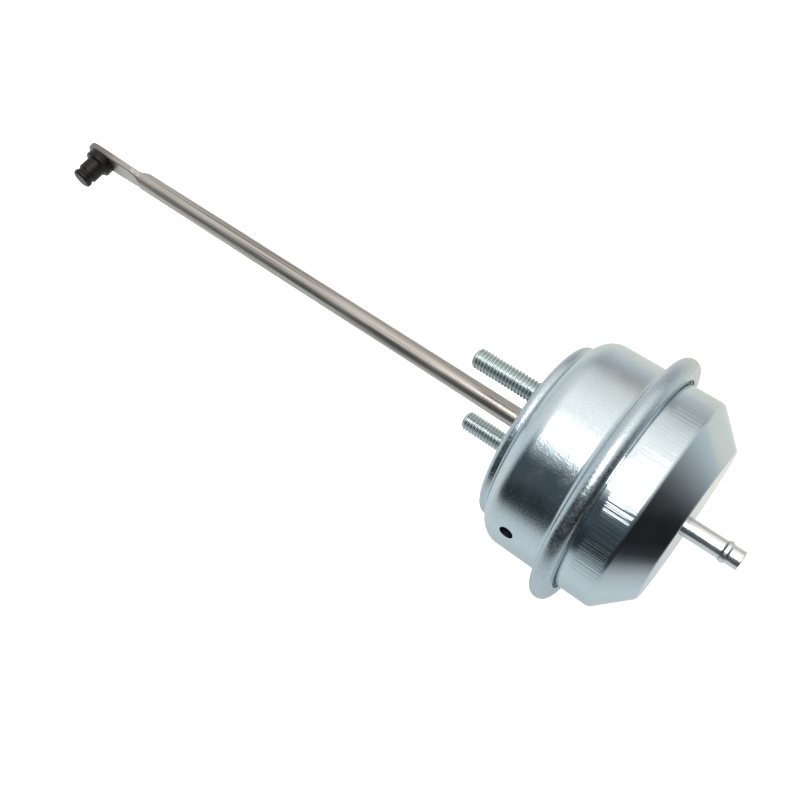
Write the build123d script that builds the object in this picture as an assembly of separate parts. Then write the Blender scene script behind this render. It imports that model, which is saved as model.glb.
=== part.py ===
from build123d import *
import os
from math import acos, atan2, cos, pi, radians, sin, sqrt, tan

# Wastegate actuator, in millimetres.
# The rod's axis is X. The origin is the centre of the mounting pad's face, and +X runs
# along the rod to the lever pin. +Z is the line of the two studs, the vent hole points to
# +Y, and the lever pin points to +Y less its turn. A section is drawn as (x, radius) and
# turned about X.

# Sheet metal of the canister
shell_sheet = 1.2
front_depth = 22.8
pad_height = 3.0
pad_bend_r = 0.6
pad_root_r = 0.8
shoulder_step = 4.7
shoulder_angle = 66.0
shoulder_flat = 0.6
crimp_depth = 5.7
crimp_root_r = 1.8
crimp_lip_gap = 1.0
crimp_crest_flat = 0.05
vent_r = 2.0
vent_from_crimp = 10.5

# Back shell
back_step = 0.1
back_root_r = 0.8
back_depth = 9.6
cone_length = 8.7
cone_angle = 45.0
cone_bend_r = 0.8
end_bend_r = 0.6
flange_clearance = 0.1

# Hose nipple
nipple_r = 2.75
nipple_wall = 0.85
nipple_length = 15.2
nipple_collar_step = 1.45
nipple_collar_t = 0.8
ring_height = 0.45
ring_width = 1.0
ring_slope = 0.4
ring_from_tip = 3.7
nipple_tip_chamfer = 0.3

# Mounting plate and its two studs
plate_t = 2.5
plate_chamfer = 0.8
stud_r = 3.0
stud_length = 21.5
stud_neck_step = 0.25
stud_head_step = 2.5
stud_head_t = 2.0
stud_tip_chamfer = 0.7

# Rod guide in the middle of the plate
bush_wall = 2.0
bush_length = 7.5
housing_sheet = 1.0
housing_rim = 2.2
housing_bend_r = 0.5
housing_lip = 0.5
seal_wall = 2.44
seal_hold = 0.9
seal_lip_gap = 0.3
seal_lip_step = 0.25

# Push rod: a round bar with its far end pressed flat into an eye
rod_r = 3.0
shank_step = 0.5
eye_reach = 176.0
eye_turn = 12.0
flat_length = 17.0
flat_t = 2.4
flat_y = 0.57
flat_edge_r = 0.7
neck_flare = 0.8
press_r = 4.0
eye_wall = 1.85
eye_nose = 2.4

# Lever pin, riveted through the eye
pin_hole_r = 2.55
pin_r = 3.5
pin_length = 4.5
pin_collar_step = 1.3
pin_collar_t = 2.9
groove_depth = 0.5
groove_width = 1.1
pin_head_step = 0.1
pin_head_t = 1.9
pin_chamfer = 0.5
rivet_step = 1.05
rivet_t = 1.3

# Piston group on the rod's inner end
diaphragm_t = 1.0
diaphragm_rim_t = 1.6
diaphragm_rim_width = 1.2
roll_gap = 2.2
roll_rise = 5.6
piston_sheet = 1.0
piston_depth = 14.0
retainer_sheet = 1.2
retainer_step = 5.2
retainer_rim = 1.6
retainer_bend_r = 0.4
rod_washer_width = 6.5
rod_washer_t = 1.5
seal_washer_width = 2.5
seal_washer_t = 0.6
nut_wall = 1.5
nut_t = 2.6

# Bump stop on the end wall
stop_inner_step = 7.5
stop_width = 4.5
stop_base_t = 1.2
stop_lugs = 4
stop_lug_angle = 50.0

# Return spring
wire_r = 1.5
spring_active_turns = 3.75
spring_end_pitch = 3.05

# Clearances
running = 0.06
loose = 0.1
neck_clearance = 0.05
plate_clearance = 0.3
soft_clearance = 0.3
rest_gap = 0.3
nut_gap = 0.3
stud_flange_gap = 0.4
stud_spring_gap = 0.9
spring_piston_gap = 0.6

# Radii, from the rod outwards
shank_r = rod_r - shank_step
bush_r = rod_r + running + bush_wall
housing_r = bush_r + neck_clearance + housing_sheet
housing_flange_r = housing_r + housing_rim
seal_r = rod_r + running + seal_wall
pad_hole_r = seal_r - seal_hold
stud_neck_r = stud_r + stud_neck_step
stud_head_r = stud_r + stud_head_step
stud_offset = housing_flange_r + stud_flange_gap + stud_head_r
spring_r = stud_offset + stud_head_r + stud_spring_gap + wire_r
piston_r = spring_r + wire_r + spring_piston_gap + piston_sheet
piston_corner_r = piston_sheet + spring_piston_gap
roll_inner_r = piston_r + soft_clearance
roll_outer_r = roll_inner_r + 2 * diaphragm_t + roll_gap
bore_r = roll_outer_r + soft_clearance
shell_r = bore_r + shell_sheet
pad_r = shell_r - shoulder_step
plate_r = pad_r - shell_sheet - plate_clearance
crimp_r = shell_r + crimp_depth
back_r = shell_r - back_step
crimp_lip_r = back_r + crimp_lip_gap
end_r = back_r - cone_length * tan(radians(cone_angle))
nut_flats = 2 * (shank_r + nut_wall)
nipple_bore_r = nipple_r - nipple_wall
stop_inner_r = shank_r + stop_inner_step
eye_r = pin_hole_r + eye_wall

# Stations along the rod, from the pad's face to the nipple
plate_front_x = -shell_sheet
plate_back_x = plate_front_x - plate_t
bush_back_x = plate_back_x - bush_length
crimp_width = 3 * shell_sheet + diaphragm_rim_t
crimp_crest_r = crimp_width / 2 - crimp_crest_flat
flange_r = crimp_r - crimp_crest_r - flange_clearance
crimp_front_x = -front_depth
crimp_back_x = crimp_front_x - crimp_width
clamp_front_x = crimp_front_x - shell_sheet
clamp_back_x = crimp_back_x + shell_sheet
vent_x = crimp_front_x + vent_from_crimp
roll_crest_x = clamp_front_x + roll_rise
cone_x = crimp_back_x - back_depth
end_x = cone_x - cone_length
end_wall_x = end_x + shell_sheet
nipple_tip_x = end_x - nipple_length
nut_back_x = end_wall_x + nipple_collar_t + nut_gap
seal_washer_back_x = nut_back_x + nut_t
retainer_back_x = seal_washer_back_x + seal_washer_t
stop_top_x = retainer_back_x - rest_gap
diaphragm_back_x = retainer_back_x + retainer_sheet
piston_crown_x = diaphragm_back_x + diaphragm_t
piston_inner_x = piston_crown_x + piston_sheet
rod_shoulder_x = piston_inner_x + rod_washer_t

# The rod's far end
eye_x = eye_reach
eye_round_x = eye_x + eye_nose
eye_tip_x = eye_round_x + eye_r
flat_x = eye_x - flat_length
flat_front_y = flat_y + flat_t / 2
flat_back_y = flat_y - flat_t / 2
neck_half_width = rod_r + neck_flare


def turned(section):
    """A solid turned about the rod's axis."""
    return revolve(section, Axis.X)


def outline(points):
    """A closed section through (x, radius) points."""
    return make_face(Polyline(*points, close=True))


def sheet(points, radii, thickness, side):
    """A pressed sheet's section: one face of it follows the points, with bends of those radii."""
    face_line = FilletPolyline(*points, radius=radii).wire()
    return make_face(face_line.offset_2d(thickness, side=side))


def ring(x_low, x_high, r_inner, r_outer):
    """A plain turned ring between two stations on the axis."""
    return turned(outline([(x_low, r_inner), (x_high, r_inner), (x_high, r_outer), (x_low, r_outer)]))


def drill(radius, x_low, x_high, y=0.0, z=0.0):
    """A round cutter along X."""
    middle = Pos((x_low + x_high) / 2, y, z)
    return middle * Rot(0, 90, 0) * Cylinder(radius, x_high - x_low)


def stud_places():
    """The two stud axes as (name, z)."""
    return [("stud_upper", stud_offset), ("stud_lower", -stud_offset)]


# Canister

def make_front_shell():
    angle = radians(shoulder_angle)
    shoulder_run = shoulder_step / tan(angle)
    shoulder_bends = (shoulder_step / sin(angle) - shoulder_flat) / tan(angle / 2)
    shoulder_r = shoulder_bends - pad_root_r
    pad_edge_r = shell_sheet + pad_bend_r
    points = [
        (0, pad_hole_r),
        (0, pad_r),
        (-pad_height, pad_r),
        (-pad_height - shoulder_run, shell_r),
        (crimp_front_x, shell_r),
        (crimp_front_x, crimp_r),
        (crimp_back_x, crimp_r),
        (crimp_back_x, crimp_lip_r),
    ]
    radii = [pad_edge_r, pad_root_r, shoulder_r, crimp_root_r, crimp_crest_r, crimp_crest_r]
    shell = turned(sheet(points, radii, shell_sheet, Side.LEFT))
    for name, z in stud_places():
        shell -= drill(stud_neck_r + neck_clearance, -pad_height, 1, z=z)
    vent = Pos(vent_x, shell_r, 0) * Rot(90, 0, 0) * Cylinder(vent_r, 4 * shell_sheet)
    return shell - vent


def make_back_shell():
    points = [
        (clamp_back_x, flange_r),
        (clamp_back_x, back_r),
        (cone_x, back_r),
        (end_x, end_r),
        (end_x, nipple_r + neck_clearance),
    ]
    radii = [back_root_r, shell_sheet + cone_bend_r, shell_sheet + end_bend_r]
    return turned(sheet(points, radii, shell_sheet, Side.LEFT))


def make_hose_nipple():
    ring_x = nipple_tip_x + ring_from_tip
    ring_r = nipple_r + ring_height
    chamfer_r = nipple_r - nipple_tip_chamfer
    collar_r = nipple_r + nipple_collar_step
    collar_x = end_wall_x + nipple_collar_t
    points = [
        (collar_x, nipple_bore_r),
        (collar_x, collar_r),
        (end_wall_x, collar_r),
        (end_wall_x, nipple_r),
        (ring_x + ring_width + ring_slope, nipple_r),
        (ring_x + ring_width, ring_r),
        (ring_x, ring_r),
        (ring_x - ring_slope, nipple_r),
        (nipple_tip_x + nipple_tip_chamfer, nipple_r),
        (nipple_tip_x, chamfer_r),
        (nipple_tip_x, nipple_bore_r),
    ]
    return turned(outline(points))


def make_mounting_plate():
    hole_r = seal_r + loose
    points = [
        (plate_front_x, hole_r),
        (plate_front_x, plate_r - plate_chamfer),
        (plate_front_x - plate_chamfer, plate_r),
        (plate_back_x, plate_r),
        (plate_back_x, hole_r),
    ]
    plate = turned(outline(points))
    for name, z in stud_places():
        plate -= drill(stud_neck_r + neck_clearance, plate_back_x - 1, plate_front_x + 1, z=z)
    return plate


def make_stud(z):
    head_x = plate_back_x - stud_head_t
    tip_r = stud_r - stud_tip_chamfer
    points = [
        (head_x, 0),
        (head_x, stud_head_r),
        (plate_back_x, stud_head_r),
        (plate_back_x, stud_neck_r),
        (0, stud_neck_r),
        (0, stud_r),
        (stud_length - stud_tip_chamfer, stud_r),
        (stud_length, tip_r),
        (stud_length, 0),
    ]
    return Pos(0, 0, z) * turned(outline(points))


def make_guide_housing():
    inner_r = bush_r + neck_clearance
    back_x = bush_back_x - neck_clearance
    points = [
        (plate_back_x, housing_flange_r),
        (plate_back_x, inner_r),
        (back_x, inner_r),
        (back_x, rod_r + housing_lip),
    ]
    radii = [housing_sheet + housing_bend_r, housing_bend_r]
    return turned(sheet(points, radii, housing_sheet, Side.RIGHT))


def make_guide_bush():
    chamfer = housing_bend_r
    points = [
        (plate_back_x, rod_r + running),
        (plate_back_x, bush_r),
        (bush_back_x + chamfer, bush_r),
        (bush_back_x, bush_r - chamfer),
        (bush_back_x, rod_r + running),
    ]
    return turned(outline(points))


def make_dust_seal():
    lip_r = pad_hole_r - seal_lip_gap
    lip_x = -seal_lip_step
    points = [
        (plate_back_x, rod_r + running),
        (plate_back_x, seal_r),
        (plate_front_x, seal_r),
        (plate_front_x, lip_r),
        (lip_x, lip_r - seal_lip_step),
        (lip_x, rod_r + running),
    ]
    return turned(outline(points))


def make_bump_stop():
    stop_outer_r = stop_inner_r + stop_width
    base = ring(end_wall_x, end_wall_x + stop_base_t, stop_inner_r, stop_outer_r)
    tall = outline(
        [
            (end_wall_x + stop_base_t, stop_inner_r),
            (stop_top_x, stop_inner_r),
            (stop_top_x, stop_outer_r),
            (end_wall_x + stop_base_t, stop_outer_r),
        ]
    )
    lug = revolve(tall, Axis.X, revolution_arc=stop_lug_angle)
    for number in range(stop_lugs):
        base += Rot(number * 360 / stop_lugs, 0, 0) * lug
    return base


# Rod group

def make_push_rod():
    bar_end_x = flat_x + press_r
    bar = turned(
        outline(
            [
                (nut_back_x, 0),
                (nut_back_x, shank_r),
                (rod_shoulder_x, shank_r),
                (rod_shoulder_x, rod_r),
                (bar_end_x, rod_r),
                (bar_end_x, 0),
            ]
        )
    )
    pressed = bar - press_cut(flat_front_y, 1) - press_cut(flat_back_y, -1) + make_eye()
    return Rot(-eye_turn, 0, 0) * pressed


def press_cut(face_y, outward):
    """What the press takes off one side of the bar, down to the flat, with a round run-out."""
    side_y = outward * rod_r
    depth = abs(side_y - face_y)
    sweep_angle = acos((press_r - depth) / press_r)
    far_x = flat_x + 2 * press_r
    clear_y = outward * 2 * rod_r

    def on_arc(angle):
        return flat_x - press_r * sin(angle), face_y + outward * press_r * (1 - cos(angle))

    run_out = ThreePointArc(on_arc(sweep_angle), on_arc(sweep_angle / 2), on_arc(0))
    start = on_arc(sweep_angle)
    rest = Polyline(on_arc(0), (far_x, face_y), (far_x, clear_y), (start[0], clear_y), start)
    return extrude(make_face(run_out + rest), 2 * rod_r, both=True)


def make_eye():
    """The pressed end seen along Y: a neck that widens to a round end past the pin's hole."""
    root_x = flat_x - press_r
    root_half = sqrt(rod_r**2 - flat_front_y**2) - loose
    neck_x = flat_x + press_r / 2
    run = eye_round_x - neck_x
    reach = sqrt(run**2 + neck_half_width**2)
    touch_angle = pi - atan2(neck_half_width, run) - acos(eye_r / reach)
    touch = (eye_round_x + eye_r * cos(touch_angle), eye_r * sin(touch_angle))
    upper = [(root_x, root_half), (neck_x, neck_half_width), touch]
    lower = [(x, -z) for x, z in reversed(upper)]
    plan = make_face(Polyline(*lower, *upper) + ThreePointArc(touch, (eye_tip_x, 0), lower[0]))
    blank = Pos(0, flat_front_y, 0) * extrude(Plane.XZ * plan, flat_t)
    rims = blank.faces().filter_by(Axis.Y).edges()
    hole = Pos(eye_x, flat_y, 0) * Rot(90, 0, 0) * Cylinder(pin_hole_r, 2 * flat_t)
    return fillet(rims, flat_edge_r) - hole


def make_lever_pin():
    shank = pin_hole_r - neck_clearance
    y_collar = flat_front_y + pin_collar_t
    y_body = y_collar + pin_length
    y_groove = y_body + groove_width
    y_end = y_groove + pin_head_t
    c = pin_chamfer
    collar_r = pin_r + pin_collar_step
    groove_r = pin_r - groove_depth
    head_r = pin_r - pin_head_step
    rivet_r = pin_hole_r + rivet_step
    profile = Polyline(
        (0, flat_back_y - rivet_t),
        (rivet_r - rivet_t, flat_back_y - rivet_t),
        (rivet_r, flat_back_y),
        (shank, flat_back_y),
        (shank, flat_front_y),
        (collar_r, flat_front_y),
        (collar_r, y_collar - c),
        (collar_r - c, y_collar),
        (pin_r, y_collar),
        (pin_r, y_body),
        (groove_r, y_body),
        (groove_r, y_groove),
        (head_r - c, y_groove),
        (head_r, y_groove + c),
        (head_r, y_end - c),
        (head_r - c, y_end),
        (0, y_end),
        close=True,
    )
    return Rot(-eye_turn, 0, 0) * Pos(eye_x, 0, 0) * revolve(make_face(profile), Axis.Y)


def make_piston():
    points = [
        (piston_crown_x, shank_r + loose),
        (piston_crown_x, piston_r),
        (piston_crown_x + piston_depth, piston_r),
    ]
    return turned(sheet(points, [piston_corner_r], piston_sheet, Side.RIGHT))


def make_diaphragm():
    """The membrane's spring side: crown, wall along the piston, fold, wall along the bore, rim."""
    roll_r = (roll_outer_r - roll_inner_r) / 2 - crimp_crest_flat
    root_r = crimp_root_r + shell_sheet + soft_clearance
    points = [
        (piston_crown_x, shank_r + soft_clearance),
        (piston_crown_x, roll_inner_r),
        (roll_crest_x, roll_inner_r),
        (roll_crest_x, roll_outer_r),
        (clamp_front_x, roll_outer_r),
        (clamp_front_x, flange_r),
    ]
    radii = [piston_corner_r + soft_clearance, roll_r, roll_r, root_r]
    membrane = turned(sheet(points, radii, diaphragm_t, Side.LEFT))
    rim_x = clamp_front_x - diaphragm_rim_t
    return membrane + ring(rim_x, clamp_front_x, flange_r - diaphragm_rim_width, flange_r)


def make_retainer_plate():
    retainer_r = piston_r - retainer_step
    bend_r = retainer_sheet + retainer_bend_r
    points = [
        (diaphragm_back_x, shank_r + loose),
        (diaphragm_back_x, retainer_r),
        (diaphragm_back_x - retainer_sheet - retainer_rim, retainer_r),
    ]
    return turned(sheet(points, [bend_r], retainer_sheet, Side.LEFT))


def make_rod_washer():
    return ring(piston_inner_x, rod_shoulder_x, shank_r + loose, shank_r + rod_washer_width)


def make_sealing_washer():
    outer_r = shank_r + seal_washer_width
    return ring(seal_washer_back_x, retainer_back_x, shank_r + loose, outer_r)


def make_lock_nut():
    hexagon = Plane.YZ * RegularPolygon(nut_flats / 2, 6, major_radius=False)
    body = Pos(nut_back_x, 0, 0) * extrude(hexagon, nut_t)
    return body - drill(shank_r + neck_clearance, nut_back_x - 1, nut_back_x + nut_t + 1)


def make_return_spring():
    """Closed end turns, which lie against their neighbours, and open turns between them."""
    low_x = piston_inner_x + wire_r
    high_x = plate_back_x - wire_r
    active_length = high_x - low_x - 2 * spring_end_pitch
    spans = [
        (spring_end_pitch, 1.0),
        (active_length / spring_active_turns, spring_active_turns),
        (spring_end_pitch, 1.0),
    ]
    edges = []
    x = low_x
    turn = 0.0
    for pitch, turns in spans:
        along = Plane(origin=(x, 0, 0), x_dir=(0, 1, 0), z_dir=(1, 0, 0))
        span = along * Rot(0, 0, 360 * turn) * Helix(pitch, pitch * turns, spring_r)
        edges.extend(span.edges())
        x += pitch * turns
        turn += turns
    path = Wire(edges)
    start = Plane(origin=path @ 0, z_dir=path % 0)
    return sweep(start * Circle(wire_r), path=path)


parts = {
    "front_shell": make_front_shell(),
    "back_shell": make_back_shell(),
    "hose_nipple": make_hose_nipple(),
    "mounting_plate": make_mounting_plate(),
    "guide_housing": make_guide_housing(),
    "guide_bush": make_guide_bush(),
    "dust_seal": make_dust_seal(),
    "bump_stop": make_bump_stop(),
    "push_rod": make_push_rod(),
    "lever_pin": make_lever_pin(),
    "piston": make_piston(),
    "diaphragm": make_diaphragm(),
    "retainer_plate": make_retainer_plate(),
    "rod_washer": make_rod_washer(),
    "sealing_washer": make_sealing_washer(),
    "lock_nut": make_lock_nut(),
    "return_spring": make_return_spring(),
}
for stud_name, stud_z in stud_places():
    parts[stud_name] = make_stud(stud_z)

os.makedirs("parts", exist_ok=True)
for node, shape in parts.items():
    export_step(shape, f"parts/{node}.step")
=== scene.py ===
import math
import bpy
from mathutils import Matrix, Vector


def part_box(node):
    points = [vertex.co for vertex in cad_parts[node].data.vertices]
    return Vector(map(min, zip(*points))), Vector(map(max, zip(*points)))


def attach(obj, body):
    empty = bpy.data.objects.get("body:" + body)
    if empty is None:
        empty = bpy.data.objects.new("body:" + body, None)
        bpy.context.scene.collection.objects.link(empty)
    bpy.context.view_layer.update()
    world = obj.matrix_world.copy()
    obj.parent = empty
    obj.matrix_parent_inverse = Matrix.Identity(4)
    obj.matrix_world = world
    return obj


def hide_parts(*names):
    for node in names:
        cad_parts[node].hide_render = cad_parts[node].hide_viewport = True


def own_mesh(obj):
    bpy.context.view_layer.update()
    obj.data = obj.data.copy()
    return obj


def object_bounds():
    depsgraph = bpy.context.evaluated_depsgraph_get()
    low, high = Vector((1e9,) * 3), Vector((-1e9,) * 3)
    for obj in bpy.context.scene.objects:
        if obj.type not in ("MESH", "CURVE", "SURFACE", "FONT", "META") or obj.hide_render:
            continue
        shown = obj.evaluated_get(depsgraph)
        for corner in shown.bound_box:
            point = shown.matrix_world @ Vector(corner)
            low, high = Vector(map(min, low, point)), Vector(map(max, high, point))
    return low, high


bl_info = {
    "name": "Wastegate Actuator",
    "version": (1, 0, 0),
    "blender": (4, 5, 0),
    "location": "3D View > Sidebar > Actuator",
    "description": "Dresses the packed frame of a wastegate actuator with its shells, threads and finishes",
    "category": "Object",
}

import bpy
from bpy.props import FloatProperty, FloatVectorProperty, IntProperty, PointerProperty
from mathutils import Matrix, Vector

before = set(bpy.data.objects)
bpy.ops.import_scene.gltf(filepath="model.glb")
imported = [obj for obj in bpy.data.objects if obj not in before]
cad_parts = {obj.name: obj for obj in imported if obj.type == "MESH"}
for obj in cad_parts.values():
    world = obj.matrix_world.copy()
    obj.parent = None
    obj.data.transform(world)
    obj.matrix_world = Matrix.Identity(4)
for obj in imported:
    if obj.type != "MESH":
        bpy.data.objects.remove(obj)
cad_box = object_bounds()

# The rod's axis is X, and +X runs from the mounting pad to the lever pin. The studs stand
# one above the other along Z. The vent hole points to +Y, and the lever pin is turned a
# little from there towards -Z.

MM = 0.001
CANISTER = "canister"
ROD = "rod_assembly"


def length(name, millimetres, description):
    """A size that the panel shows in the scene's unit, given here in millimetres."""
    return FloatProperty(
        name=name,
        description=description,
        default=millimetres * MM,
        subtype="DISTANCE",
        unit="LENGTH",
        precision=5,
    )


def bearing(name, degrees, description):
    """An angle that the panel shows in degrees."""
    return FloatProperty(name=name, description=description, default=math.radians(degrees), subtype="ANGLE")


def linear(hex_colour):
    """An sRGB hex colour as the linear colour that a shader takes."""
    channels = [int(hex_colour[i : i + 2], 16) / 255 for i in (1, 3, 5)]
    curve = [c / 12.92 if c <= 0.04045 else ((c + 0.055) / 1.055) ** 2.4 for c in channels]
    return (*curve, 1.0)


def tint(name, hex_colour, description):
    """A colour that the panel shows as a swatch."""
    return FloatVectorProperty(
        name=name,
        description=description,
        default=linear(hex_colour),
        size=4,
        subtype="COLOR",
        min=0,
        max=1,
    )


# Sizes and colours


class CanSizes(bpy.types.PropertyGroup):
    """The two cups of the canister and the bead that joins them."""

    sheet: length("Sheet", 1.2, "Thickness of the drawn sheet")
    shell_r: length("Front radius", 31.21, "Outer radius of the front cup")
    pad_r: length("Pad radius", 26.51, "Outer radius of the raised mounting pad")
    pad_height: length("Pad height", 3.0, "Height of the pad's straight side")
    pad_bend_r: length("Pad bend", 1.8, "Bend at the pad's edge")
    pad_root_r: length("Pad root", 0.8, "Bend between the pad's side and the shoulder")
    pad_hole_r: length("Pad hole", 4.6, "Radius of the hole that the dust seal looks out of")
    shoulder_run: length("Shoulder run", 2.093, "How far the shoulder drops before its bend")
    shoulder_r: length("Shoulder bend", 6.2, "Large bend from the shoulder into the front cup's wall")
    front_depth: length("Front depth", 22.8, "Distance from the pad's face to the bead")
    crimp_r: length("Bead radius", 36.91, "Outer radius of the rolled bead")
    crimp_width: length("Bead width", 5.2, "Width of the rolled bead")
    crimp_root_r: length("Bead root", 1.8, "Bend between the wall and the bead")
    crimp_crest_r: length("Bead crest", 2.55, "Bend over the crest of the bead")
    crimp_lip_r: length("Bead lip", 32.11, "Radius of the rolled lip's edge behind the bead")
    lip_round: length("Lip rounding", 0.22, "Rounding of the sheet's trimmed edges")
    back_r: length("Back radius", 31.11, "Outer radius of the back cup")
    back_root_r: length("Back root", 0.8, "Bend between the back cup's flange and its wall")
    flange_r: length("Flange radius", 34.26, "Radius of the back cup's flange inside the bead")
    back_depth: length("Back depth", 9.6, "Length of the back cup's straight wall behind the bead")
    cone_length: length("Cone length", 8.7, "Length of the back cup's cone")
    end_r: length("End radius", 22.41, "Radius where the cone meets the flat end")
    cone_bend_r: length("Cone bend", 2.0, "Bend between the wall and the cone")
    end_bend_r: length("End bend", 1.8, "Bend between the cone and the flat end")
    vent_r: length("Vent radius", 2.0, "Radius of the vent hole in the front cup")
    vent_x: length("Vent place", -12.3, "Place of the vent hole along the axis")
    stud_hole_r: length("Stud hole", 3.3, "Radius of the pad's holes for the stud necks")
    around: IntProperty(name="Steps round", description="Steps round each cup", default=288, min=24)
    bend_steps: IntProperty(name="Bend steps", description="Points in each bend", default=14, min=2)


class StudSizes(bpy.types.PropertyGroup):
    """The threaded studs."""

    radius: length("Radius", 3.0, "Outer radius of the thread")
    length: length("Length", 21.5, "Length that stands proud of the pad")
    offset: length("Offset", 14.21, "Distance of each stud from the rod's axis")
    pitch: length("Pitch", 1.0, "Pitch of the thread")
    depth: length("Depth", 0.46, "Depth of the thread")
    neck_r: length("Neck radius", 3.25, "Radius of the pressed-in neck")
    head_r: length("Head radius", 5.5, "Radius of the head behind the plate")
    head_t: length("Head thickness", 2.0, "Thickness of the head")
    neck_length: length("Neck length", 3.7, "Depth from the pad's face to the head")
    tip: length("Tip chamfer", 0.8, "Chamfer at the thread's end")


class NippleSizes(bpy.types.PropertyGroup):
    """The hose nipple."""

    radius: length("Radius", 2.75, "Outer radius of the tube")
    bore_r: length("Bore", 1.9, "Radius of the bore")
    length: length("Length", 15.2, "Length behind the flat end")
    ring_r: length("Ring radius", 3.2, "Radius of the ring that holds the hose")
    ring_width: length("Ring width", 1.0, "Width of the ring's crest")
    ring_slope: length("Ring slope", 0.4, "Length of the slope on each side of the ring")
    ring_from_tip: length("Ring place", 3.7, "Distance from the tip to the ring")
    collar_r: length("Collar radius", 4.2, "Radius of the collar inside the back cup")
    collar_t: length("Collar thickness", 0.8, "Thickness of the collar")


class PinSizes(bpy.types.PropertyGroup):
    """The lever pin."""

    reach: length("Reach", 176.0, "Place of the pin along the rod")
    turn: bearing("Turn", 12, "Turn of the pin from +Y towards -Z")
    face: length("Eye face", 1.77, "Distance of the eye's face from the rod's axis")
    eye_t: length("Eye thickness", 2.4, "Thickness of the flat eye")
    shank_r: length("Shank radius", 2.5, "Radius of the shank inside the eye")
    collar_r: length("Collar radius", 4.8, "Radius of the collar against the eye")
    collar_t: length("Collar thickness", 2.9, "Thickness of the collar")
    radius: length("Radius", 3.5, "Radius of the body that the lever turns on")
    body: length("Body", 4.5, "Length of the body")
    groove_r: length("Groove radius", 3.0, "Radius at the bottom of the retaining groove")
    groove_width: length("Groove width", 1.1, "Width of the retaining groove")
    head_r: length("Head radius", 3.4, "Radius of the end disc")
    head_t: length("Head thickness", 1.9, "Thickness of the end disc")
    chamfer: length("Chamfer", 0.5, "Chamfer at the collar and the end disc")
    rivet_t: length("Rivet height", 0.5, "Height of the rivet head behind the eye")
    rivet_r: length("Rivet radius", 3.1, "Radius of the rivet head")


class InsideSizes(bpy.types.PropertyGroup):
    """The return spring and the rolling diaphragm."""

    wire_r: length("Wire", 1.5, "Radius of the spring's wire")
    end_pitch: length("End pitch", 3.05, "Rise of the closed turn at each end of the spring")
    open_turns: FloatProperty(
        name="Open turns", description="Turns between the closed ones", default=3.75, min=1
    )
    membrane: length("Membrane", 1.0, "Thickness of the diaphragm")
    rim_t: length("Rim thickness", 1.6, "Thickness of the diaphragm's rim, which the bead clamps")
    rim_width: length("Rim width", 1.2, "Width of that rim")
    hole_r: length("Hole", 2.8, "Radius of the diaphragm's hole for the rod")
    inner_r: length("Inner wall", 25.51, "Radius of the diaphragm's wall along the piston")
    outer_r: length("Outer wall", 29.71, "Radius of the diaphragm's wall along the cup")
    corner_r: length("Corner", 1.9, "Bend round the piston's corner")
    fold_r: length("Fold", 2.05, "Bend of the rolling fold")
    root_r: length("Root", 3.3, "Bend from the outer wall into the flange")


class Finishes(bpy.types.PropertyGroup):
    """Colours of the finishes."""

    zinc: tint("Zinc", "#C3CFD5", "Blue-white of the zinc plating")
    zinc_edge: tint("Zinc edge", "#F1F5F5", "How much the zinc dims towards its edges")
    straw: tint("Zinc straw", "#CCD2CF", "Faint straw tint of the plating where it lies thick")
    zinc_dark: tint("Zinc pits", "#9FABB2", "Small pits of the plating")
    thread: tint("Thread", "#CAD3D1", "Zinc on the rolled threads")
    # Painted shade: the darker grey-green of the thread roots stands in for the shade that falls in them.
    thread_root_shade: tint("Thread root", "#7F9192", "Thin zinc in the roots of the threads")
    tube: tint("Tube", "#D6D8D7", "Bright plated tube")
    bar: tint("Bar", "#B2ADA6", "Warm grey of the drawn bar")
    # The same colour is also the painted shade round the pin on the flat eye.
    bar_lines_and_shade: tint("Bar lines", "#78736D", "Drawing lines of the bar")
    black: tint("Black oxide", "#141110", "Black oxide of the lever pin")
    black_worn: tint("Black oxide grain", "#262220", "Lighter grain of the black oxide")
    rubber: tint("Rubber", "#17181A", "Moulded rubber")
    membrane: tint("Membrane", "#1D1E24", "Fabric-backed rubber of the diaphragm")
    # Painted shade: the phosphate's dark grey is darkened further, to stand in for the shade inside the
    # canister.
    spring: tint("Spring", "#232427", "Dark phosphated spring wire")
    # Painted shade: this dark grey stands in for the shade inside the canister, on the inner zinc pieces.
    shade: tint("Inner zinc", "#33383C", "Dull zinc inside the canister")
    bronze: tint("Bronze", "#A87B45", "Oil-filled sintered bronze")


class StageSizes(bpy.types.PropertyGroup):
    """The camera, the light and the floor."""

    camera: FloatVectorProperty(
        name="Camera",
        description="Place of the camera",
        default=(-0.055158, 0.139725, 0.200695),
        subtype="TRANSLATION",
        unit="LENGTH",
        precision=5,
    )
    azimuth: bearing("Azimuth", 218.991, "Direction of the camera")
    elevation: bearing("Elevation", 55.105, "Height of the camera")
    roll: bearing("Roll", 1.238, "Roll of the camera")
    lens: FloatProperty(name="Lens", description="Focal length", default=40.835, subtype="DISTANCE_CAMERA")
    shift_x: FloatProperty(name="Shift X", description="Sideways shift of the lens", default=0.0388)
    shift_y: FloatProperty(name="Shift Y", description="Upward shift of the lens", default=0.04525)
    floor: length("Floor", 3000, "Side of the floor")
    floor_shade: FloatProperty(
        name="Floor shade", description="Brightness of the floor that the metal mirrors", default=0.94, min=0
    )
    floor_glow: FloatProperty(name="Floor glow", description="Light from under the floor", default=0.55)
    daylight: FloatProperty(name="Daylight", description="Brightness of the white room", default=1.5, min=0)
    lamp: FloatVectorProperty(
        name="Soft box",
        description="Place of the soft box",
        default=(-0.05, 0.36, 0.7),
        subtype="TRANSLATION",
        unit="LENGTH",
        precision=3,
    )
    lamp_size: length("Soft box size", 340, "Side of the soft box")
    lamp_power: FloatProperty(name="Soft box power", description="Power of the soft box", default=4.0, min=0)


# Helpers


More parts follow.
